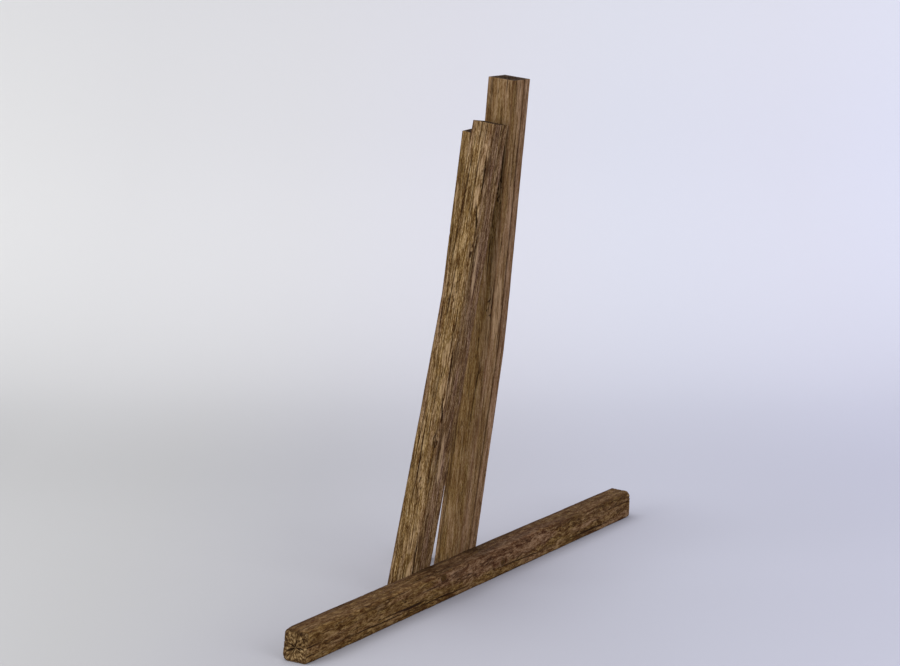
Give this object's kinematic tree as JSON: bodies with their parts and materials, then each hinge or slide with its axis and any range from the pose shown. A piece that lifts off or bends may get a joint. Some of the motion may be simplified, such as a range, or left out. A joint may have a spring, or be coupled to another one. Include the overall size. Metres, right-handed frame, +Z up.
{
  "type": "wooden training dummy",
  "caption": "Free-standing training dummy of weathered square timbers: leaning posts that meet at their heads behind a long ground beam, held by coach screws.",
  "frame": {"origin": "the middle of the ground beam's underside, on the floor", "axes": "+X along the ground beam, +Y to the back, towards the posts' feet, +Z up"},
  "size_m": [2.4025, 0.6094, 1.9325],
  "materials": {
    "beam_timber": "weathered, mottled brown, unfinished",
    "tall_timber": "weathered, stained brown, unfinished",
    "front_timber": "weathered, golden brown, unfinished",
    "rear_timber": "weathered, stained brown, unfinished",
    "fixing_steel": "galvanised, dulled and lightly rusted"
  },
  "bodies": {
    "root": {"ground_beam": "beam_timber", "tall_post": "tall_timber", "front_post": "front_timber", "rear_post": "rear_timber", "screw_tall_foot_low": "fixing_steel", "washer_tall_foot_low": "fixing_steel", "screw_tall_foot_high": "fixing_steel", "washer_tall_foot_high": "fixing_steel", "screw_front_foot_low": "fixing_steel", "washer_front_foot_low": "fixing_steel", "screw_front_foot_high": "fixing_steel", "washer_front_foot_high": "fixing_steel", "screw_head_side_low": "fixing_steel", "washer_head_side_low": "fixing_steel", "screw_head_side_high": "fixing_steel", "washer_head_side_high": "fixing_steel", "screw_head_rear_low": "fixing_steel", "washer_head_rear_low": "fixing_steel", "screw_head_rear_high": "fixing_steel", "washer_head_rear_high": "fixing_steel"}
  },
  "joints": []
}
